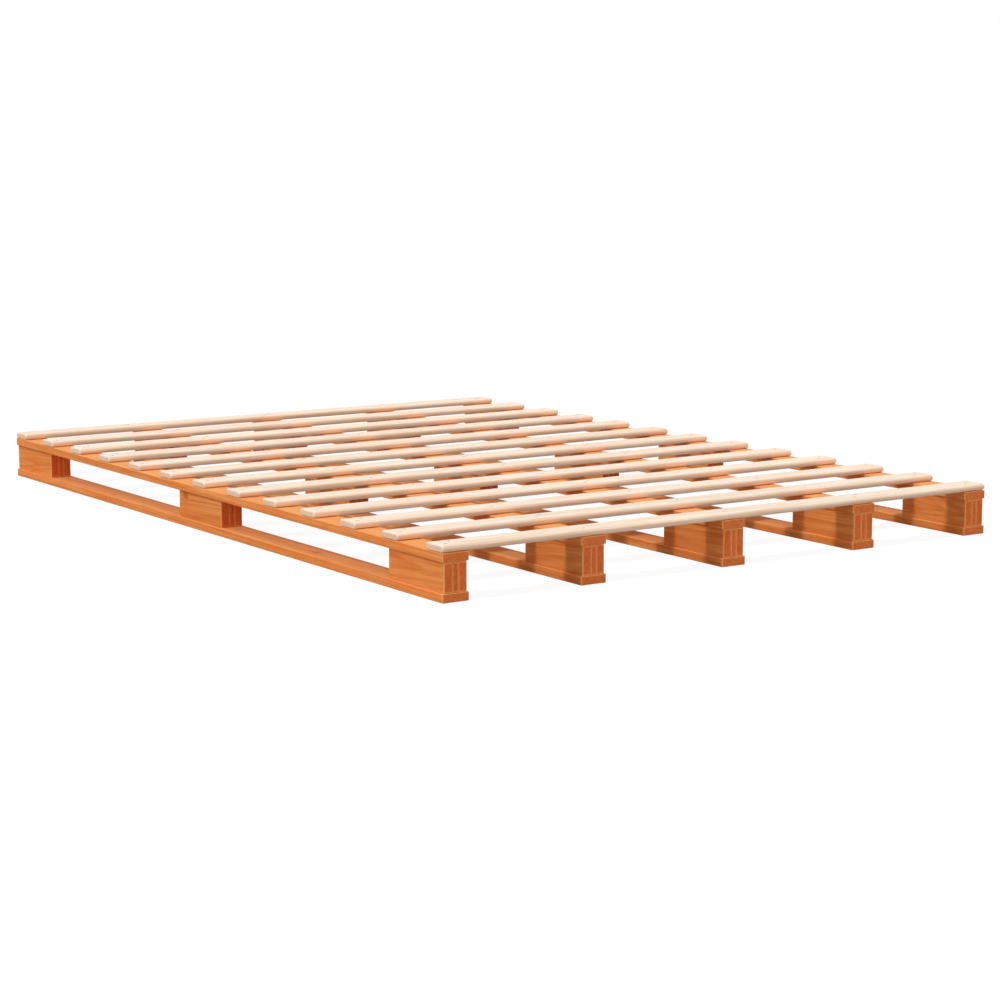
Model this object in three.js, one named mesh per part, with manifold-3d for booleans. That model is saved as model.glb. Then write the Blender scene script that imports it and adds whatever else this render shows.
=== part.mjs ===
// A low pallet bed: rounded slats laid across runners that are built like the stringers of a pallet.
// Lengths are in millimetres. X runs along the slats, Y along the runners and Z up.
// The origin lies on the floor, under the middle of the bed.
import * as THREE from "three";
import { mergeVertices } from "three/addons/utils/BufferGeometryUtils.js";
import Module from "manifold-3d";

const wasm = await Module();
wasm.setup();

// The whole bed
const bedLength = 2000; // along the runners, from end to end
const bedWidth = 1400; // along the slats, between the outer faces of the outer runners
const outerRunnerPitch = 320; // from an outer runner to its neighbour
const seatGap = 0.3; // between two pieces that rest on each other

// The long boards at the bottom and the top of each runner
const boardWidth = 60;
const boardThickness = 18;
const boardEase = 1.8; // chamfer along every edge

// The blocks between the boards, each glued up from three upright planks
const blockLength = 200;
const blockHeight = 59;
const blockInset = 4; // how far the boards overhang the blocks on each side
const blockSetback = 1.3; // how far the end blocks stand in from the ends of the boards
const outerPlankWidth = 19.5; // the middle plank takes what is left
const plankEase = 1.6; // chamfer along every edge of a plank

// The slats
const slatCount = 13;
const slatWidth = 60;
const slatThickness = 14.5; // the long edges are fully rounded, so this is also their diameter
const slatEndEase = 2.5;

// The countersunk screws that go up through a bottom board and a block into the top board
const screwRadius = 3;
const screwHeadRadius = 5.5;
const screwHeadHeight = 4;
const screwSink = 1; // from the underside of the bottom board up to the face of the head
const screwBite = 11; // how far the screw goes into the top board
const screwTipLength = 6;
const screwClearance = 0.3; // between the screw and its hole
const driveLength = 6; // the cross recess in the head
const driveWidth = 1.4;
const driveDepth = 2;

const overrun = 2; // how far a cutter reaches past the face that it cuts

// How finely curves are divided
const slatEdgeSteps = 6; // to each quarter of a slat's rounded edge
const screwSides = 16;

// Where the layers lie
const blockBottom = boardThickness + seatGap;
const topBoardBottom = blockBottom + blockHeight + seatGap;
const slatBottom = topBoardBottom + boardThickness + seatGap;

// Where the runners, blocks and slats stand
const outerRunnerX = (bedWidth - boardWidth) / 2;
const innerRunnerX = outerRunnerX - outerRunnerPitch;
const runnerPlaces = [-outerRunnerX, -innerRunnerX, 0, innerRunnerX, outerRunnerX];
const endBlockY = (bedLength - blockLength) / 2 - blockSetback;
const blockPlaces = { near: -endBlockY, middle: 0, far: endBlockY };
const slatPitch = (bedLength - slatWidth) / (slatCount - 1);
const firstSlatY = (slatWidth - bedLength) / 2;

const blockWidth = boardWidth - 2 * blockInset;
const middlePlankWidth = blockWidth - 2 * outerPlankWidth;

// A closed geometry as a solid that can be joined and cut
function solidOf(geometry) {
  const bare = geometry.clone();
  bare.deleteAttribute("normal");
  bare.deleteAttribute("uv");
  const merged = mergeVertices(bare);
  return new wasm.Manifold(
    new wasm.Mesh({
      numProp: 3,
      vertProperties: new Float32Array(merged.attributes.position.array),
      triVerts: new Uint32Array(merged.index.array),
    }),
  );
}

// A solid as a geometry, with flat normals
function geometryOf(solid) {
  const mesh = solid.getMesh();
  const indexed = new THREE.BufferGeometry();
  indexed.setAttribute("position", new THREE.BufferAttribute(mesh.vertProperties, mesh.numProp));
  indexed.setIndex(new THREE.BufferAttribute(mesh.triVerts, 1));
  const geometry = indexed.toNonIndexed();
  geometry.computeVertexNormals();
  return geometry;
}

// A geometry with others cut out of it
function cut(geometry, cutters) {
  return geometryOf(cutters.reduce((solid, cutter) => solid.subtract(solidOf(cutter)), solidOf(geometry)));
}

// An outline drawn across Y, drawn out along it to a length, with a chamfer round both ends
function barAlongY(outline, length, ease, curveSteps) {
  const straight = length - 2 * ease;
  return new THREE.ExtrudeGeometry(outline, {
    depth: straight,
    curveSegments: curveSteps,
    bevelThickness: ease,
    bevelSize: ease,
    bevelOffset: -ease,
    bevelSegments: 1,
  })
    .translate(0, 0, -straight / 2)
    .rotateX(Math.PI / 2);
}

// A rectangle with its corners cut off
function easedRectangle(width, height, ease) {
  const x = width / 2;
  const y = height / 2;
  return new THREE.Shape([
    new THREE.Vector2(ease - x, -y),
    new THREE.Vector2(x - ease, -y),
    new THREE.Vector2(x, ease - y),
    new THREE.Vector2(x, y - ease),
    new THREE.Vector2(x - ease, y),
    new THREE.Vector2(ease - x, y),
    new THREE.Vector2(-x, y - ease),
    new THREE.Vector2(-x, ease - y),
  ]);
}

// A rectangle with half-round ends
function roundedStrip(width, height) {
  const radius = height / 2;
  const reach = width / 2 - radius;
  const quarter = Math.PI / 2;
  return new THREE.Shape()
    .absarc(reach, 0, radius, -quarter, quarter)
    .absarc(-reach, 0, radius, quarter, 3 * quarter);
}

// A profile of [radius, height] pairs turned about Z
function turned(profile) {
  const points = profile.map(([radius, height]) => new THREE.Vector2(radius, height));
  return new THREE.LatheGeometry(points, screwSides).rotateX(Math.PI / 2);
}

// The heights of a block screw, measured from the floor
const screwNeck = screwSink + screwHeadHeight;
const screwTip = topBoardBottom + screwBite;
const screwShoulder = screwTip - screwTipLength;

function screwGeometry() {
  const body = turned([
    [0, screwSink],
    [screwHeadRadius, screwSink],
    [screwRadius, screwNeck],
    [screwRadius, screwShoulder],
    [0, screwTip],
  ]);
  const driveHeight = driveDepth + overrun;
  const driveZ = screwSink + driveDepth - driveHeight / 2;
  const slots = [
    new THREE.BoxGeometry(driveLength, driveWidth, driveHeight),
    new THREE.BoxGeometry(driveWidth, driveLength, driveHeight),
  ];
  return cut(
    body,
    slots.map((slot) => slot.translate(0, 0, driveZ)),
  );
}

// What the screw's hole takes out of a piece whose middle stands at a height above the floor
function screwHole(y, pieceZ) {
  const headRadius = screwHeadRadius + screwClearance;
  const radius = screwRadius + screwClearance;
  return turned([
    [0, -overrun],
    [headRadius, -overrun],
    [headRadius, screwSink],
    [radius, screwNeck],
    [radius, screwShoulder],
    [0, screwTip + screwClearance],
  ]).translate(0, y, -pieceZ);
}

function boardGeometry(pieceZ) {
  const bar = barAlongY(easedRectangle(boardWidth, boardThickness, boardEase), bedLength, boardEase);
  return cut(
    bar,
    Object.values(blockPlaces).map((y) => screwHole(y, pieceZ)),
  );
}

// A glued block: the seams between its planks show as small V grooves, where eased edges meet
function blockGeometry(pieceZ) {
  const bar = barAlongY(easedRectangle(blockWidth, blockHeight, plankEase), blockLength, plankEase);
  const side = plankEase * Math.SQRT2; // a square bar on its corner cuts a groove as deep as the ease
  const upright = blockHeight + 2 * overrun;
  const lengthwise = blockLength + 2 * overrun;
  const eighth = Math.PI / 4;
  const grooves = [-1, 1].flatMap((seam) =>
    [-1, 1].flatMap((face) => [
      new THREE.BoxGeometry(side, side, upright)
        .rotateZ(eighth)
        .translate((seam * middlePlankWidth) / 2, (face * blockLength) / 2, 0),
      new THREE.BoxGeometry(side, lengthwise, side)
        .rotateY(eighth)
        .translate((seam * middlePlankWidth) / 2, 0, (face * blockHeight) / 2),
    ]),
  );
  return cut(bar, [...grooves, screwHole(0, pieceZ)]);
}

function slatGeometry() {
  const strip = roundedStrip(slatWidth, slatThickness);
  return barAlongY(strip, bedWidth, slatEndEase, slatEdgeSteps).rotateZ(Math.PI / 2);
}

// Colours and finishes
const stainedPine = () => new THREE.MeshStandardMaterial({ color: 0xd98445, roughness: 0.5, metalness: 0 });
const naturalPine = () => new THREE.MeshStandardMaterial({ color: 0xf3dcc2, roughness: 0.6, metalness: 0 });
const zincedSteel = () => new THREE.MeshStandardMaterial({ color: 0xb9bdc2, roughness: 0.35, metalness: 1 });

function piece(name, geometry, material, y, z) {
  const mesh = new THREE.Mesh(geometry, material);
  mesh.name = name;
  mesh.position.set(0, y, z);
  return mesh;
}

// One runner: a bottom board, three blocks, a top board and a screw up through each block
function runner(number) {
  const bottomBoardZ = boardThickness / 2;
  const blockZ = blockBottom + blockHeight / 2;
  const topBoardZ = topBoardBottom + boardThickness / 2;
  const label = `runner_${number}`;
  const group = new THREE.Group();
  group.add(
    piece(`${label}_bottom_board`, boardGeometry(bottomBoardZ), stainedPine(), 0, bottomBoardZ),
    piece(`${label}_top_board`, boardGeometry(topBoardZ), stainedPine(), 0, topBoardZ),
  );
  for (const [place, y] of Object.entries(blockPlaces)) {
    group.add(
      piece(`${label}_${place}_block`, blockGeometry(blockZ), stainedPine(), y, blockZ),
      piece(`${label}_${place}_screw`, screwGeometry(), zincedSteel(), y, 0),
    );
  }
  return group;
}

const bed = new THREE.Group();
runnerPlaces.forEach((x, index) => {
  const one = runner(index + 1);
  one.position.x = x;
  bed.add(one);
});
for (let index = 0; index < slatCount; index++) {
  const name = `slat_${String(index + 1).padStart(2, "0")}`;
  bed.add(
    piece(name, slatGeometry(), naturalPine(), firstSlatY + index * slatPitch, slatBottom + slatThickness / 2),
  );
}

export default bed;
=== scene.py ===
import math
import random
from collections import namedtuple

import bmesh
import bpy
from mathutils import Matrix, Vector


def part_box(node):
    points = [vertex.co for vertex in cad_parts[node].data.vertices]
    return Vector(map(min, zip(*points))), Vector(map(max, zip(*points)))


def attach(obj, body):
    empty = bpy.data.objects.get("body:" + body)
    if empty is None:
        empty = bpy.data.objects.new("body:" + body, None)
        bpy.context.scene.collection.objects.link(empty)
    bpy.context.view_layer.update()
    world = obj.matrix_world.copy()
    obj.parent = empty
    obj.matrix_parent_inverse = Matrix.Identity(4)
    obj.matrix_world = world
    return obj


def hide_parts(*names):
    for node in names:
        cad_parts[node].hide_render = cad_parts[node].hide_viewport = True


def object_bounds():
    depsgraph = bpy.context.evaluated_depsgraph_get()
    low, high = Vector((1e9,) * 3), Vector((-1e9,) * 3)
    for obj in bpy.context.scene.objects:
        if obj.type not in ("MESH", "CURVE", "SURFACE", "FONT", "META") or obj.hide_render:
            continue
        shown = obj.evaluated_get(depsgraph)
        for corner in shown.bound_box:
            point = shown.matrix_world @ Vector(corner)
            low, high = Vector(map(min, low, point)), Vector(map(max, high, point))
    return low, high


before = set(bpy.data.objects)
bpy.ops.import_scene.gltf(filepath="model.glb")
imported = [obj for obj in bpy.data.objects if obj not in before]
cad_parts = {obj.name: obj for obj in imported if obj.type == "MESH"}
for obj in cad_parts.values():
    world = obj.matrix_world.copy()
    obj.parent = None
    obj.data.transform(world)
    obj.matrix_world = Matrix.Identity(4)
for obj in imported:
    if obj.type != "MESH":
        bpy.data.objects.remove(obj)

# Metres, in the frame of the CAD model: X along the slats, Y along the runners, Z up.
MM = 0.001
X, Y, Z = 0, 1, 2
UP = Vector((0, 0, 1))
cad_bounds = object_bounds()
bed_low = cad_bounds[0]

# Counts and names, as the CAD model has them
RUNNERS = range(1, 6)
PLACES = ("near", "middle", "far")
SLATS = range(1, 14)

# Boards and planks
BOARD_EDGE = 2.0 * MM  # radius along the long edges
BOARD_END = 2.6 * MM  # how far the rounding of an end reaches in
OUTER_PLANK_SHARE = 19.5 / 52  # of a block's width
PLANK_SHARES = {
    "left": (0, OUTER_PLANK_SHARE),
    "middle": (OUTER_PLANK_SHARE, 1 - OUTER_PLANK_SHARE),
    "right": (1 - OUTER_PLANK_SHARE, 1),
}
PLANK_EDGE = 0.8 * MM
PLANK_END = 2.6 * MM
SEAM = 0.12 * MM  # between two planks
EDGE_STEPS = 5  # to each rounded corner of a board or plank
END_STEPS = 4  # to the rounding of an end
LEVEL_SHARE = 0.45  # how much of an end's rounding the top and bottom faces take
LEAST_RADIUS = 0.3 * MM  # of a long edge where the rounding of an end draws it in
SAME_POINT = 0.0001 * MM

# Slats and their screws
SLAT_EDGE_STEPS = 8  # to each quarter of a rounded long edge
SLAT_END = 3.5 * MM
SCREW_ALONG = 11 * MM  # from the middle of a crossing to each screw
SCREW_ACROSS = 11 * MM
SCREW_CELL = 7 * MM  # half the side of the square that a seat is cut into
SEAT_RADIUS = 4.5 * MM
SEAT_LIP = 0.2 * MM
SEAT_LIP_DEPTH = 0.12 * MM
SEAT_DEPTH = 3.0 * MM
SEAT_FOOT_RADIUS = 1.9 * MM
HEAD_RADIUS = 4.1 * MM
HEAD_EASE = 0.15 * MM
HEAD_SINK = 0.35 * MM
HEAD_FOOT_RADIUS = 1.7 * MM
HEAD_CLEARANCE = 0.2 * MM  # between the foot of a head and the foot of its seat
RECESS_ARM = 2.1 * MM
RECESS_HALF = 0.55 * MM
RECESS_DEPTH = 1.3 * MM
RECESS_TAPER = 0.8  # size of the cross at its bottom, as a share of its mouth

# Seats of the block screws, in the undersides of the bottom boards
BASE_SCREW_CELL = 10 * MM
BASE_SEAT_RADIUS = 5.9 * MM
BASE_SEAT_RIM = 1.1 * MM
BASE_SEAT_DEPTH = 5.2 * MM
BASE_SEAT_FOOT_RADIUS = 3.2 * MM

# Round holes. Each is cut into a rectangular cell of a bar's surface, and its profile is (radius, depth)
# pairs from the rim down.
Hole = namedtuple("Hole", "centre half_cell profile outward")
HOLE_SIDES = 24
HOLE_ANGLES = [2 * math.pi * k / HOLE_SIDES for k in range(HOLE_SIDES)]
CELL_MATCH = 0.25  # how far a cell's middle may lie from its hole, as a share of half the cell


# Meshes

def rounded_loop(
    half_width, half_height, radius, inset, steps, level_share=1.0, top_lines=(), bottom_lines=()
):
    """The outline of a bar as (across, up) points round its middle.

    It is drawn in by an inset at the sides, and by a share of that at the top and the bottom. The lines are
    more points on the top and the bottom, where the cells of holes begin and end.
    """
    points = []
    reach = max(radius - inset, LEAST_RADIUS)
    centre_x = half_width - inset - reach
    centre_z = half_height - inset * level_share - reach

    def arc(x, z, start):
        for k in range(steps + 1):
            angle = math.radians(start + 90 * k / steps)
            point = (x + reach * math.cos(angle), z + reach * math.sin(angle))
            if not points or math.dist(points[-1], point) > SAME_POINT:
                points.append(point)

    arc(centre_x, -centre_z, -90)
    arc(centre_x, centre_z, 0)
    points.extend((x, centre_z + reach) for x in sorted(top_lines, reverse=True))
    arc(-centre_x, centre_z, 90)
    arc(-centre_x, -centre_z, 180)
    points.extend((x, -centre_z - reach) for x in sorted(bottom_lines))
    return points


def end_stations(low, high, ease):
    """Stations (along, inset) that round both ends of a bar from low to high."""
    turn = [math.radians(90 * k / END_STEPS) for k in range(END_STEPS + 1)]
    near = [(low + ease * (1 - math.sin(a)), ease * (1 - math.cos(a))) for a in reversed(turn)]
    far = [(high - ease * (1 - math.sin(a)), ease * (1 - math.cos(a))) for a in turn]
    return near, far


def join(bm, ring, following):
    """Faces between two rings of as many points."""
    for k in range(len(ring)):
        n = (k + 1) % len(ring)
        bm.faces.new((ring[k], ring[n], following[n], following[k]))


def sink_hole(bm, corners, hole):
    """Fills a rectangular cell with a round hole."""
    def ring(radius, depth):
        return [
            bm.verts.new(
                hole.centre
                + Vector((math.cos(a), math.sin(a), 0)) * radius
                - hole.outward * depth
            )
            for a in HOLE_ANGLES
        ]

    rings = [ring(radius, depth) for radius, depth in hole.profile]

    def owner(k):
        """The corner of the cell that a side of the rim looks toward."""
        angle = 2 * math.pi * (k + 0.5) / HOLE_SIDES
        direction = Vector((math.cos(angle), math.sin(angle), 0))
        return max(range(4), key=lambda i: (corners[i].co - hole.centre).normalized().dot(direction))

    for k in range(HOLE_SIDES):
        here, before = owner(k), owner(k - 1)
        bm.faces.new((corners[here], rings[0][k], rings[0][(k + 1) % HOLE_SIDES]))
        if here != before:
            bm.faces.new((corners[before], corners[here], rings[0][k]))
    for upper, lower in zip(rings, rings[1:]):
        join(bm, upper, lower)
    bm.faces.new(rings[-1])


def bar_mesh(name, stations, loop_of, place, holes=()):
    """A closed bar swept through stations, with its holes."""
    bm = bmesh.new()
    rings = [
        [bm.verts.new(place(along, across, up)) for across, up in loop_of(inset)]
        for along, inset in stations
    ]
    count = len(rings[0])
    for ring, following in zip(rings, rings[1:]):
        for k in range(count):
            n = (k + 1) % count
            cell = (ring[k], ring[n], following[n], following[k])
            middle = sum((v.co for v in cell), Vector()) / 4
            hole = next((h for h in holes if (h.centre - middle).length < h.half_cell * CELL_MATCH), None)
            if hole:
                sink_hole(bm, cell, hole)
            else:
                bm.faces.new(cell)
    bm.faces.new(rings[0])
    bm.faces.new(rings[-1])
    return finished(name, bm)


def finished(name, bm):
    """Turns a bmesh into a smooth object whose flat faces stay flat."""
    bmesh.ops.recalc_face_normals(bm, faces=bm.faces)
    mesh = bpy.data.meshes.new(name)
    bm.to_mesh(mesh)
    bm.free()
    mesh.polygons.foreach_set("use_smooth", [True] * len(mesh.polygons))
    piece = bpy.data.objects.new(name, mesh)
    bpy.context.scene.collection.objects.link(piece)
    normals = piece.modifiers.new("flat faces", "WEIGHTED_NORMAL")
    normals.weight = 100
    return piece


def dress(piece, material, slot, *nodes):
    """Gives a piece its material and its place in the frame, and hides the CAD nodes that it stands for."""
    piece.data.materials.append(material)
    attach(piece, "root")
    if nodes:
        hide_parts(*nodes)


# Grain

# How the pieces were sawn out of the trunk: how far their middles lie from the pith, and how much they lean
BOARD_CUT = {"pith_wide": (0.04, 0.09), "pith_thin": (0.01, 0.04), "lean": 0.012}
PLANK_CUT = {"pith_wide": (0.01, 0.04), "pith_thin": (0.04, 0.08), "lean": 0.05}
SLAT_CUT = {"pith_wide": (0.0, 0.03), "pith_thin": (0.02, 0.055), "lean": 0.014}
TRUNK_LENGTH = 40
GRAIN_SEED = 4


def set_grain(piece, along, wide, thin, cut):
    """Gives a piece its place in the trunk: how far along it, and how far from the pith, each vertex lies."""
    rng = random.Random(f"{piece.name}_{GRAIN_SEED}")
    start = rng.uniform(0, TRUNK_LENGTH)
    pith_wide = rng.uniform(*cut["pith_wide"]) * rng.choice((-1, 1))
    pith_thin = rng.uniform(*cut["pith_thin"]) * rng.choice((-1, 1))
    lean_wide = rng.uniform(-1, 1) * cut["lean"]
    lean_thin = rng.uniform(-1, 1) * cut["lean"]
    shade = rng.uniform(-1, 1)
    points = [vertex.co.copy() for vertex in piece.data.vertices]
    middle = (Vector(map(min, zip(*points))) + Vector(map(max, zip(*points)))) / 2
    half = Vector(map(max, zip(*points))) - middle
    places = []
    inside = []
    for point in points:
        travel = (point - middle)[along]
        places += (
            start + travel,
            (point - middle)[wide] + pith_wide + lean_wide * travel,
            (point - middle)[thin] + pith_thin + lean_thin * travel,
        )
        inside.extend(point - middle)
    attributes = piece.data.attributes
    attributes.new("grain", "FLOAT_VECTOR", "POINT").data.foreach_set("vector", places)
    attributes.new("inside", "FLOAT_VECTOR", "POINT").data.foreach_set("vector", inside)
    attributes.new("half", "FLOAT_VECTOR", "POINT").data.foreach_set("vector", list(half) * len(points))
    attributes.new("tone", "FLOAT", "POINT").data.foreach_set("value", [shade] * len(points))


# Shader building

# Noise: how many waves to a metre along each of its three axes, how detailed it is, and how rough
Noise = namedtuple("Noise", "waves detail roughness", defaults=(2.0, 0.5))


def srgb(red, green, blue):
    """A colour on the screen's scale of 0 to 255 as a linear colour."""
    def linear(value):
        share = value / 255
        return share / 12.92 if share <= 0.04045 else ((share + 0.055) / 1.055) ** 2.4

    return (linear(red), linear(green), linear(blue), 1.0)


class Shader:
    """The nodes of a material or a world, added and joined by short calls."""

    def __init__(self, owner):
        owner.use_nodes = True
        self.owner = owner
        self.tree = owner.node_tree
        self.tree.nodes.clear()

    def node(self, kind, inputs=None, **settings):
        """Adds a node. Each of its inputs is joined to a socket or set to a value."""
        made = self.tree.nodes.new(kind)
        for key, value in settings.items():
            setattr(made, key, value)
        for key, value in (inputs or {}).items():
            if isinstance(value, bpy.types.NodeSocket):
                self.tree.links.new(value, made.inputs[key])
            else:
                made.inputs[key].default_value = value
        return made

    def math(self, operation, a, b=0.0, clamp=False):
        return self.node("ShaderNodeMath", {0: a, 1: b}, operation=operation, use_clamp=clamp).outputs[0]

    def plus(self, a, b):
        return self.math("ADD", a, b)

    def minus(self, a, b, clamp=False):
        return self.math("SUBTRACT", a, b, clamp)

    def times(self, a, b):
        return self.math("MULTIPLY", a, b)

    def vector(self, operation, a, b=(0.0, 0.0, 0.0)):
        made = self.node("ShaderNodeVectorMath", {0: a, 1: b}, operation=operation)
        return made.outputs["Value" if operation in ("LENGTH", "DOT_PRODUCT") else "Vector"]

    def xyz(self, x, y, z):
        return self.node("ShaderNodeCombineXYZ", {0: x, 1: y, 2: z}).outputs[0]

    def noise(self, place, kind):
        inputs = {
            "Vector": self.vector("MULTIPLY", place, kind.waves),
            "Scale": 1.0,
            "Detail": kind.detail,
            "Roughness": kind.roughness,
        }
        return self.node("ShaderNodeTexNoise", inputs).outputs["Fac"]

    def swing(self, place, kind, width):
        """Noise that swings round zero, within a width."""
        return self.times(self.minus(self.noise(place, kind), 0.5), width)

    def attribute(self, name, output="Vector"):
        settings = {"attribute_name": name, "attribute_type": "GEOMETRY"}
        return self.node("ShaderNodeAttribute", **settings).outputs[output]

    def step(self, value, low, high, to_low=0.0, to_high=1.0):
        """Goes smoothly from one value to another while the given one goes from low to high."""
        inputs = {"Value": value, "From Min": low, "From Max": high, "To Min": to_low, "To Max": to_high}
        made = self.node("ShaderNodeMapRange", inputs, interpolation_type="SMOOTHSTEP")
        return made.outputs["Result"]

    def fade(self, value, low, high):
        """Goes smoothly from 1 to 0 while the given value goes from low to high."""
        return self.step(value, low, high, 1.0, 0.0)

    def mix(self, factor, a, b, blend="MIX"):
        inputs = {0: factor, 6: a, 7: b}
        return self.node("ShaderNodeMix", inputs, data_type="RGBA", blend_type=blend).outputs[2]

    def shown(self):
        """1 for what the camera sees, straight or mirrored, and 0 for the light thrown on other things."""
        path = self.node("ShaderNodeLightPath").outputs
        return self.math("MAXIMUM", path["Is Camera Ray"], path["Is Glossy Ray"])

    def surface(self, inputs, height, strength, distance):
        """The material, with a relief of the given height map."""
        relief = {"Height": height, "Strength": strength, "Distance": distance}
        bump = self.node("ShaderNodeBump", relief)
        shader = self.node("ShaderNodeBsdfPrincipled", {**inputs, "Normal": bump.outputs[0]})
        self.node("ShaderNodeOutputMaterial", {0: shader.outputs[0]})
        return self.owner


# Wood

# Noise that follows the grain: along it, and across it both ways
BANDS = Noise((2.2, 115.0, 115.0), 2.0, 0.55)
STREAKS = Noise((3.2, 260.0, 260.0), 3.0, 0.6)
FIBRES = Noise((26.0, 1300.0, 1300.0), 2.0, 0.6)
BLOTCHES = Noise((7.0, 24.0, 24.0), 3.0, 0.6)
RESIN = Noise((30.0, 900.0, 900.0), 1.0)
SWAY = Noise((1.6, 14.0, 14.0))
KNOT_OUTLINE = Noise((60.0, 160.0, 160.0))
# the ragged outline of the pale edges, which are partly wear and partly a painted highlight
WEAR_AND_HIGHLIGHT_OUTLINE = Noise((40.0, 300.0, 300.0))

# Between which values of its noise each layer of colour comes in
BAND_RANGE = (0.42, 0.66)
STREAK_RANGE = (0.5, 0.72)
FIBRE_RANGE = (0.35, 0.7)
BLOTCH_RANGE = (0.3, 0.7)
RESIN_RANGE = (0.7, 0.78)

# Knots. Their ranges are counted from the middle out, in knot radii.
KNOT_PLACING = 0.9  # how freely the knots lie in their grid, up to 1
KNOT_STRETCH = (0.7, 1.0, 0.4)  # under 1 draws a knot out, here along the grain and through the thickness
KNOT_RAGGED = 0.5  # how much the outline strays
KNOT_RANGE = (0.75, 1.05)
RIM_RANGE = (1.0, 1.5)
HALO_RANGE = (0.6, 3.2)

# Growth rings. Their ranges are shares of a ring, from early wood to late.
LATE_WOOD_COMES = (0.35, 0.9)
LATE_WOOD_ENDS = (0.93, 1.0)
SECOND_SWAY = (7.3, 3.1, 5.9)  # moves the noise, so that the grain sways differently in its two directions
YEARS = Noise((60.0, 1.0, 1.0), 1.0)  # good and bad years, from the pith outward
YEAR_CHANGE = 3.2  # in rings, how far they shift the rings

# How squarely a face looks up or down where it is level, along the grain where it is a cut end, and up where
# it
# is a top that takes a painted sheen: from not at all to fully
LEVEL_RANGE = (0.15, 0.95)
END_RANGE = (0.6, 0.95)
PAINTED_SHEEN_RANGE = (0.5, 0.97)

# Relief, with the height of each thing in it as a share of its depth, and smoothness
WOOD_RELIEF = 0.4 * MM
LATE_HEIGHT = 0.35
FIBRE_HEIGHT = 0.55
STREAK_HEIGHT = 0.4
RIM_DEPTH = 0.5
LATE_SMOOTHNESS = 0.4
SMOOTHNESS_RANGE = (0.3, 1.1)


def knots(s, grain, look):
    """Knots, in some of the cells of a grid: the knot itself, its dark rim, and a halo round it."""
    cell = look["knot_cell"]
    place = s.vector("DIVIDE", grain, cell)
    cells = s.node("ShaderNodeTexVoronoi", {"Vector": place, "Scale": 1.0, "Randomness": KNOT_PLACING})
    offset = s.vector("SUBTRACT", place, cells.outputs["Position"])
    reach = tuple(side * stretch for side, stretch in zip(cell, KNOT_STRETCH))
    away = s.vector("LENGTH", s.vector("MULTIPLY", offset, reach))
    dice = s.node("ShaderNodeSeparateColor", {0: cells.outputs["Color"]})
    size = s.step(dice.outputs[0], 0.0, 1.0, *look["knot_radius"])
    there = s.math("GREATER_THAN", dice.outputs[1], look["knot_scarcity"])
    ragged = s.plus(s.times(s.noise(grain, KNOT_OUTLINE), KNOT_RAGGED), 1.0 - KNOT_RAGGED / 2)
    spread = s.math("DIVIDE", s.times(away, ragged), size)
    knot = s.times(s.fade(spread, *KNOT_RANGE), there)
    halo = s.times(s.fade(spread, *HALO_RANGE), there)
    rim = s.times(s.minus(s.fade(spread, *RIM_RANGE), knot, clamp=True), there)
    return knot, rim, halo


def growth(s, grain, halo, look):
    """The swaying grain, and how much of the dark late wood of its growth rings each point has."""
    sway_wide = s.swing(grain, SWAY, look["sway"])
    sway_thin = s.swing(s.vector("ADD", grain, SECOND_SWAY), SWAY, look["sway"])
    flow = s.vector("ADD", grain, s.xyz(0.0, sway_wide, sway_thin))
    from_pith = s.vector("LENGTH", s.vector("MULTIPLY", flow, (0.0, 1.0, 1.0)))
    drawn = s.plus(from_pith, s.times(s.times(halo, halo), look["knot_pull"]))
    years = s.noise(s.xyz(drawn, 0.0, 0.0), YEARS)
    phase = s.plus(s.math("DIVIDE", drawn, look["ring"]), s.times(years, YEAR_CHANGE))
    season = s.math("FRACT", phase)
    late = s.times(s.step(season, *LATE_WOOD_COMES), s.fade(season, *LATE_WOOD_ENDS))
    return flow, late


def facing(s, end_axis):
    """How far each face looks up, how much it is a cut end, and how much it is an upright side."""
    normal = s.node("ShaderNodeNewGeometry").outputs["True Normal"]
    rise = s.vector("DOT_PRODUCT", normal, (0.0, 0.0, 1.0))
    level = s.step(s.math("ABSOLUTE", rise), *LEVEL_RANGE)
    end = s.step(s.math("ABSOLUTE", s.vector("DOT_PRODUCT", normal, end_axis)), *END_RANGE)
    side = s.times(s.minus(1.0, level), s.minus(1.0, end))
    return rise, end, side


def wear_and_painted_highlight_mask(s, grain, look):
    """How pale each point is, partly from wear and partly as a painted highlight: more so near the edges of
    its piece, with a ragged outline.
    """
    margins = s.vector("SUBTRACT", s.attribute("half"), s.vector("ABSOLUTE", s.attribute("inside")))
    depth = s.node("ShaderNodeSeparateXYZ", {0: margins}).outputs
    ragged = s.swing(grain, WEAR_AND_HIGHLIGHT_OUTLINE, look["wear_and_painted_highlight_ragged"])
    wear_and_painted_highlight = 0.0
    for one, other, near, far, strength in look["wear_and_painted_highlight_edges"]:
        to_edge = s.plus(s.math("MAXIMUM", depth[one], depth[other]), ragged)
        wear_and_painted_highlight = s.math("MAXIMUM", wear_and_painted_highlight, s.step(to_edge, near, far, strength, 0.0))
    return wear_and_painted_highlight


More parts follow.
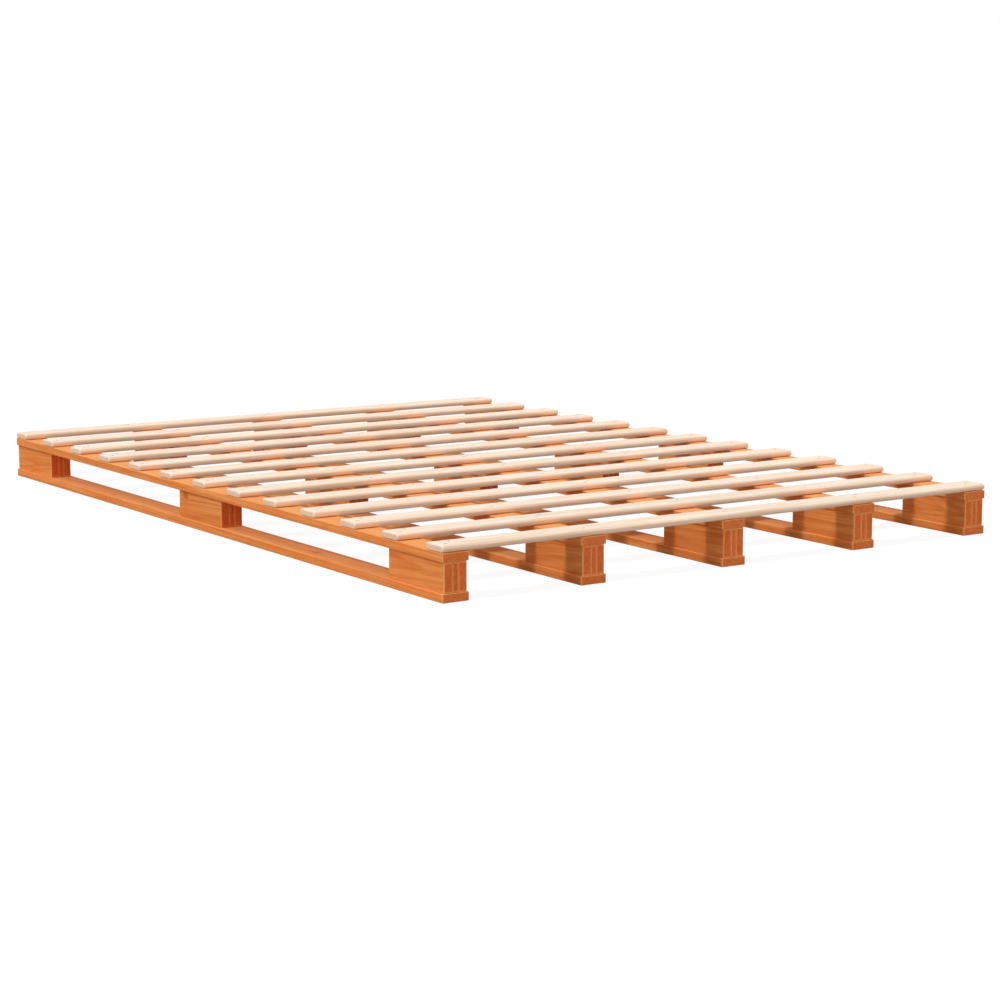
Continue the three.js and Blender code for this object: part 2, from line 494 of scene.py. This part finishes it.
def wood(name, end_axis, look):
    """Pine cut from a trunk: growth rings round the pith, fibres along it, knots, and darker end grain."""
    s = Shader(bpy.data.materials.new(name))
    grain = s.attribute("grain")
    knot, rim, halo = knots(s, grain, look)
    flow, late = growth(s, grain, halo, look)
    rise, end, side = facing(s, end_axis)
    calm = s.step(end, 0.0, 1.0, 1.0, look["end_contrast"])
    bands = s.noise(flow, BANDS)
    streaks = s.noise(flow, STREAKS)
    fibres = s.noise(grain, FIBRES)
    blotches = s.noise(grain, BLOTCHES)
    resin = s.noise(grain, RESIN)

    # Layers of colour from the bottom up, each with how much of it there is and its name in the look
    layers = (
        (s.times(s.times(late, look["ring_strength"]), calm), "late"),
        (s.times(s.step(bands, *BAND_RANGE, 0.0, look["band_strength"]), calm), "late"),
        (s.step(streaks, *STREAK_RANGE, 0.0, look["streak_strength"]), "late"),
        (s.step(fibres, *FIBRE_RANGE, look["fibre_strength"], 0.0), "late"),
        (s.step(resin, *RESIN_RANGE, 0.0, look["resin_strength"]), "knot"),
        (s.times(halo, look["halo_strength"]), "late"),
        (s.times(rim, look["rim_strength"]), "knot"),
        (s.times(knot, look["knot_strength"]), "knot_core"),
    )
    color = s.mix(s.step(blotches, *BLOTCH_RANGE), look["pale"], look["warm"])
    for amount, layer in layers:
        color = s.mix(amount, color, look[layer])

    # Tints of the cut ends, painted shade on the upright sides, a painted sheen on the tops, pale edges that
    # are partly wear and partly a painted highlight, and the random tone of the whole piece
    color = s.mix(end, color, look["end"], "MULTIPLY")
    # Painted shade: the upright sides are made darker and warmer (white on the stained wood, so there it
    # changes nothing)
    color = s.mix(side, color, look["side"], "MULTIPLY")
    # Painted sheen: faces that look up are mixed toward a paler colour
    color = s.mix(s.step(rise, *PAINTED_SHEEN_RANGE, 0.0, look["painted_sheen_strength"]), color, look["top"])
    # Pale edges: partly wear, partly a painted highlight where rounded edges would catch the light
    color = s.mix(wear_and_painted_highlight_mask(s, grain, look), color, look["wear_and_painted_highlight"])
    shade = s.plus(s.times(s.attribute("tone", "Fac"), look["tone_spread"]), 1.0)
    color = s.node("ShaderNodeHueSaturation", {"Value": shade, "Color": color}).outputs[0]

    relief = s.plus(s.times(late, LATE_HEIGHT), s.times(fibres, FIBRE_HEIGHT))
    relief = s.plus(relief, s.times(streaks, STREAK_HEIGHT))
    relief = s.minus(relief, s.times(rim, RIM_DEPTH))
    smoothness = s.plus(s.times(late, LATE_SMOOTHNESS), streaks)
    least_rough, most_rough = look["roughness"]
    inputs = {
        "Base Color": color,
        "Roughness": s.step(smoothness, *SMOOTHNESS_RANGE, most_rough, least_rough),
        "Specular IOR Level": look["gloss"],
    }
    return s.surface(inputs, relief, look["bump"], WOOD_RELIEF)


# Looks. A row of pale edges holds the two axes across an edge, the depths between which its paleness, partly
# wear and partly a painted highlight, fades out, and how strong it is. Strengths are shares, and sizes are in
# metres.
STAINED = {
    "pale": srgb(255, 173, 102),
    "warm": srgb(253, 156, 82),
    "late": srgb(212, 106, 46),
    "knot": srgb(172, 80, 34),
    "knot_core": srgb(190, 98, 48),
    "end": srgb(241, 200, 193),
    # painted shade on the upright sides: white, so none on the stained wood
    "side": srgb(255, 255, 255),
    # painted sheen on the tops
    "top": srgb(255, 243, 178),
    "painted_sheen_strength": 0.15,
    # pale edges: partly wear, partly a painted highlight
    "wear_and_painted_highlight": srgb(255, 178, 110),
    "wear_and_painted_highlight_edges": (
        (X, Y, 0.0008, 0.0032, 0.7),
        (Y, Z, 0.0012, 0.0038, 0.8),
        (X, Z, 0.0002, 0.0015, 0.15),
    ),
    "wear_and_painted_highlight_ragged": 0.001,
    "knot_cell": (0.26, 0.07, 0.06),
    "knot_radius": (0.003, 0.007),
    "knot_scarcity": 0.45,
    "knot_pull": 0.010,
    "sway": 0.016,
    "ring": 0.0058,
    "ring_strength": 0.42,
    "band_strength": 0.38,
    "streak_strength": 0.4,
    "fibre_strength": 0.3,
    "resin_strength": 0.3,
    "halo_strength": 0.35,
    "rim_strength": 0.45,
    "knot_strength": 0.65,
    "end_contrast": 0.7,
    "tone_spread": 0.035,
    "roughness": (0.45, 0.62),
    "gloss": 0.01,
    "bump": 0.35,
}
STAINED_BOARD = {
    **STAINED,
    "end": srgb(240, 213, 212),
    # pale edges: partly wear, partly a painted highlight
    "wear_and_painted_highlight_edges": (
        (X, Y, 0.0008, 0.0030, 0.6),
        (Y, Z, 0.0003, 0.0020, 0.6),
        (X, Z, 0.0002, 0.0015, 0.15),
    ),
}
NATURAL = {
    **STAINED,
    "pale": srgb(255, 242, 223),
    "warm": srgb(255, 229, 201),
    "late": srgb(228, 186, 150),
    "knot": srgb(150, 98, 66),
    "knot_core": srgb(186, 132, 96),
    "end": srgb(252, 233, 219),
    # painted shade: the upright sides of the slats darker and warmer
    "side": srgb(255, 243, 235),
    # painted sheen on the tops of the slats
    "top": srgb(255, 252, 244),
    "painted_sheen_strength": 0.2,
    # pale slat ends: partly wear, partly a painted highlight on their rounded edges
    "wear_and_painted_highlight": srgb(255, 242, 230),
    "wear_and_painted_highlight_edges": (
        (X, Y, 0.0020, 0.0050, 0.35),
        (X, Z, 0.0020, 0.0050, 0.35),
    ),
    "knot_cell": (0.4, 0.08, 0.06),
    "knot_radius": (0.002, 0.005),
    "knot_scarcity": 0.6,
    "ring_strength": 0.4,
    "band_strength": 0.4,
    "fibre_strength": 0.25,
    "resin_strength": 0.2,
    "end_contrast": 0.45,
    "tone_spread": 0.025,
    "roughness": (0.5, 0.68),
    "gloss": 0.3,
}
ALONG_SLAT = (1.0, 0.0, 0.0)
ALONG_RUNNER = (0.0, 1.0, 0.0)

stained_boards = wood("stained_pine_boards", ALONG_RUNNER, STAINED_BOARD)
stained_blocks = wood("stained_pine_blocks", ALONG_RUNNER, STAINED)
natural_slats = wood("natural_pine_slats", ALONG_SLAT, NATURAL)


# Zinc

ZINC_CLOUDS = Noise((900.0, 900.0, 900.0), 3.0)
ZINC_LINES = Noise((500.0, 6000.0, 500.0))
ZINC_COLD = srgb(176, 172, 164)
ZINC_WARM = srgb(196, 188, 170)
ZINC_WARM_RANGE = (0.35, 0.7)  # of the clouds
ZINC_DULL = srgb(120, 118, 114)
ZINC_DULL_RANGE = (0.6, 0.75)  # of the lines
ZINC_DULL_STRENGTH = 0.5
ZINC_ROUGH_RANGE = (0.3, 0.7)  # of the clouds
ZINC_ROUGHNESS = (0.28, 0.5)
ZINC_BUMP = 0.25
ZINC_RELIEF = 0.05 * MM


def zinc(name):
    """Zinc plating: brushed lines, cloudy patches and dull spots."""
    s = Shader(bpy.data.materials.new(name))
    place = s.node("ShaderNodeTexCoord").outputs["Object"]
    clouds = s.noise(place, ZINC_CLOUDS)
    lines = s.noise(place, ZINC_LINES)
    tint = s.mix(s.step(clouds, *ZINC_WARM_RANGE), ZINC_COLD, ZINC_WARM)
    tint = s.mix(s.step(lines, *ZINC_DULL_RANGE, 0.0, ZINC_DULL_STRENGTH), tint, ZINC_DULL)
    roughness = s.step(clouds, *ZINC_ROUGH_RANGE, *ZINC_ROUGHNESS)
    inputs = {"Base Color": tint, "Metallic": 1.0, "Roughness": roughness}
    return s.surface(inputs, lines, ZINC_BUMP, ZINC_RELIEF)


screw_zinc = zinc("zinc_screw")


# Runners

def board(node, holes_at=()):
    """A long board with rounded edges, with countersunk holes in its underside where it has screws."""
    low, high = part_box(node)
    middle = (low + high) / 2
    half_width, half_height = (high.x - low.x) / 2, (high.z - low.z) / 2
    lines = (-BASE_SCREW_CELL, BASE_SCREW_CELL) if holes_at else ()

    def loop_of(inset):
        return rounded_loop(half_width, half_height, BOARD_EDGE, inset, EDGE_STEPS, LEVEL_SHARE, (), lines)

    def place(along, across, up):
        return Vector((middle.x + across, along, middle.z + up))

    near, far = end_stations(low.y, high.y, BOARD_END)
    between = sorted(y + side * BASE_SCREW_CELL for y in holes_at for side in (-1, 1))
    stations = near + [(y, 0.0) for y in between] + far
    profile = [
        (BASE_SEAT_RADIUS, 0.0),
        (BASE_SEAT_RADIUS, BASE_SEAT_RIM),
        (BASE_SEAT_FOOT_RADIUS, BASE_SEAT_DEPTH),
    ]
    holes = [Hole(Vector((middle.x, y, low.z)), BASE_SCREW_CELL, profile, -UP) for y in holes_at]
    piece = bar_mesh(node + "_pine", stations, loop_of, place, holes)
    set_grain(piece, Y, X, Z, BOARD_CUT)
    dress(piece, stained_boards, "stained_pine_boards", node)


def plank(node, side):
    """One of the three upright planks that a block is glued up from."""
    low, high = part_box(node)
    width = high.x - low.x
    start, end = (low.x + share * width for share in PLANK_SHARES[side])
    half_width = (end - start) / 2 - SEAM / 2
    half_height = (high.z - low.z) / 2
    middle_x, middle_z = (start + end) / 2, (low.z + high.z) / 2

    def loop_of(inset):
        return rounded_loop(half_width, half_height, PLANK_EDGE, inset, EDGE_STEPS, LEVEL_SHARE)

    def place(along, across, up):
        return Vector((middle_x + across, along, middle_z + up))

    near, far = end_stations(low.y, high.y, PLANK_END)
    piece = bar_mesh(f"{node}_{side}_plank", near + far, loop_of, place)
    set_grain(piece, Y, Z, X, PLANK_CUT)
    dress(piece, stained_blocks, "stained_pine_blocks", node)


def plate(node):
    """Gives a screw of the CAD model its zinc plating."""
    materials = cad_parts[node].data.materials
    materials.clear()
    materials.append(screw_zinc)


for runner in RUNNERS:
    name = f"runner_{runner}"
    block_middles = []
    for where in PLACES:
        block = f"{name}_{where}_block"
        block_low, block_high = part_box(block)
        block_middles.append((block_low.y + block_high.y) / 2)
        for side in PLANK_SHARES:
            plank(block, side)
        plate(f"{name}_{where}_screw")
    board(f"{name}_bottom_board", block_middles)
    board(f"{name}_top_board")


# Slats and their screws

runner_middles = []
for runner in RUNNERS:
    board_low, board_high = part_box(f"runner_{runner}_top_board")
    runner_middles.append((board_low.x + board_high.x) / 2)


def screw_places(middle_y, top):
    """Two screws on a diagonal where a slat crosses each runner."""
    return [
        Vector((x + side * SCREW_ALONG, middle_y + side * SCREW_ACROSS, top))
        for x in runner_middles
        for side in (-1, 1)
    ]


def slat(number):
    """A slat with fully rounded long edges and a countersunk seat for each screw."""
    node = f"slat_{number:02d}"
    low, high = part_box(node)
    middle_y, middle_z = (low.y + high.y) / 2, (low.z + high.z) / 2
    half_width, half_height = (high.y - low.y) / 2, (high.z - low.z) / 2
    lines = [side * SCREW_ACROSS + edge * SCREW_CELL for side in (-1, 1) for edge in (-1, 1)]

    def loop_of(inset):
        return rounded_loop(half_width, half_height, half_height, inset, SLAT_EDGE_STEPS, 1.0, lines)

    def place(along, across, up):
        return Vector((along, middle_y + across, middle_z + up))

    near, far = end_stations(low.x, high.x, SLAT_END)
    screws = screw_places(middle_y, high.z)
    between = sorted(screw.x + edge * SCREW_CELL for screw in screws for edge in (-1, 1))
    stations = near + [(x, 0.0) for x in between] + far
    profile = [
        (SEAT_RADIUS + SEAT_LIP, 0.0),
        (SEAT_RADIUS, SEAT_LIP_DEPTH),
        (SEAT_FOOT_RADIUS, SEAT_DEPTH),
    ]
    holes = [Hole(screw, SCREW_CELL, profile, UP) for screw in screws]
    piece = bar_mesh(node + "_pine", stations, loop_of, place, holes)
    set_grain(piece, X, Y, Z, SLAT_CUT)
    dress(piece, natural_slats, "natural_pine_slats", node)
    screw_heads(node + "_screws", screws)


def cross_outline(arm, half):
    """The twelve corners of a cross, from the three of its first quarter."""
    corners = [(arm, half), (half, half), (half, arm)]
    for _ in range(3):
        corners += [(-y, x) for x, y in corners[-3:]]
    return corners


def screw_heads(name, screws):
    """Countersunk heads with a cross recess, each turned a little differently."""
    rng = random.Random(name)
    cross = cross_outline(RECESS_ARM, RECESS_HALF)
    bm = bmesh.new()
    for screw in screws:
        turn = rng.uniform(0, math.pi / 2)
        top = screw - UP * HEAD_SINK

        def at(x, y, depth):
            c, s = math.cos(turn), math.sin(turn)
            return bm.verts.new(top + Vector((x * c - y * s, x * s + y * c, -depth)))

        def ring(radius, depth):
            return [at(radius * math.cos(a), radius * math.sin(a), depth) for a in HOLE_ANGLES]

        rim = ring(HEAD_RADIUS - HEAD_EASE, 0.0)
        side = ring(HEAD_RADIUS, HEAD_EASE)
        foot = ring(HEAD_FOOT_RADIUS, SEAT_DEPTH - HEAD_SINK - HEAD_CLEARANCE)
        mouth = [at(x, y, 0.0) for x, y in cross]
        bottom = [at(x * RECESS_TAPER, y * RECESS_TAPER, RECESS_DEPTH) for x, y in cross]
        for upper, lower in ((rim, side), (side, foot), (mouth, bottom)):
            join(bm, upper, lower)
        bm.faces.new(foot)
        bm.faces.new(bottom)
        edges = [bm.edges.get((loop[k - 1], loop[k])) for loop in (rim, mouth) for k in range(len(loop))]
        bmesh.ops.triangle_fill(bm, edges=edges, use_beauty=True)
    dress(finished(name, bm), screw_zinc, "screw_steel")


for number in SLATS:
    slat(number)


# Floor and light

WHITE = (1.0, 1.0, 1.0, 1.0)
FLOOR_HALF = 400.0  # so far out that the floor reaches the horizon
FLOOR_DULL = (0.36, 0.36, 0.36, 1.0)  # what it throws back on to the bed
FLOOR_TINT = (0.15, 0.15, 0.15, 1.0)  # how strongly light and shadow show on it
FLOOR_GLOW = 0.89  # brings the lit floor up to white


def floor():
    """A plain pale floor that shows white to the camera and still takes the bed's soft shadow."""
    bm = bmesh.new()
    corners = [(-1, -1), (1, -1), (1, 1), (-1, 1)]
    bm.faces.new([bm.verts.new((x * FLOOR_HALF, y * FLOOR_HALF, bed_low.z)) for x, y in corners])
    mesh = bpy.data.meshes.new("floor")
    bm.to_mesh(mesh)
    bm.free()
    plane = bpy.data.objects.new("floor", mesh)
    bpy.context.scene.collection.objects.link(plane)
    s = Shader(bpy.data.materials.new("floor"))
    dull = s.node("ShaderNodeBsdfDiffuse", {"Color": FLOOR_DULL})
    tinted = s.node("ShaderNodeBsdfDiffuse", {"Color": FLOOR_TINT})
    glow = s.node("ShaderNodeEmission", {"Color": WHITE, "Strength": FLOOR_GLOW})
    bright = s.node("ShaderNodeAddShader", {0: tinted.outputs[0], 1: glow.outputs[0]})
    both = s.node("ShaderNodeMixShader", {0: s.shown(), 1: dull.outputs[0], 2: bright.outputs[0]})
    s.node("ShaderNodeOutputMaterial", {0: both.outputs[0]})
    mesh.materials.append(s.owner)


def sky(fill):
    """An even white world: it fills the shadows with soft light and looks plain white to the camera."""
    world = bpy.data.worlds.new("studio")
    bpy.context.scene.world = world
    s = Shader(world)
    strength = s.node("ShaderNodeMix", {0: s.shown(), 2: fill, 3: 1.0})
    background = s.node("ShaderNodeBackground", {"Color": WHITE, "Strength": strength.outputs[0]})
    s.node("ShaderNodeOutputWorld", {0: background.outputs[0]})


def sun(name, share, toward, angle):
    """A distant soft lamp. Its share is how bright it makes a white face that looks straight at it."""
    lamp = bpy.data.lights.new(name, "SUN")
    lamp.energy = share * math.pi
    lamp.angle = math.radians(angle)
    holder = bpy.data.objects.new(name, lamp)
    holder.rotation_mode = "QUATERNION"
    holder.rotation_quaternion = (-Vector(toward)).to_track_quat("-Z", "Y")
    bpy.context.scene.collection.objects.link(holder)


floor()
sky(fill=0.53)
sun("key", share=0.36, toward=(-1.0, 0.0, 1.2), angle=9.0)
sun("overhead", share=0.175, toward=(-0.2, 0.0, 1.0), angle=32.0)
sun("side", share=0.065, toward=(-1.0, 0.0, 0.12), angle=20.0)
sun("front", share=0.14, toward=(0.0, -1.0, 0.3), angle=8.0)


# Camera

# It stands where the photograph was taken from, measured in metres from the bed's near left floor corner.
# The photograph's sizes are in pixels, and angles are in degrees.
PHOTO_FRAME = 1000.0
PHOTO_FOCAL = 2517.3
PHOTO_CENTRE_X = 517.8
CAMERA_FROM_CORNER = Vector((-2.4835, -3.9148, 0.9269))
CAMERA_YAW = 34.134
CAMERA_PITCH = 8.944

lens = bpy.data.cameras.new("camera")
lens.sensor_width = 36.0
lens.lens = lens.sensor_width * PHOTO_FOCAL / PHOTO_FRAME
lens.shift_x = (PHOTO_FRAME / 2 - PHOTO_CENTRE_X) / PHOTO_FRAME
camera = bpy.data.objects.new("camera", lens)
camera.location = bed_low + CAMERA_FROM_CORNER
camera.rotation_euler = (math.radians(90 - CAMERA_PITCH), 0.0, math.radians(-CAMERA_YAW))
bpy.context.scene.collection.objects.link(camera)
bpy.context.scene.camera = camera
bpy.context.scene.view_settings.view_transform = "Standard"
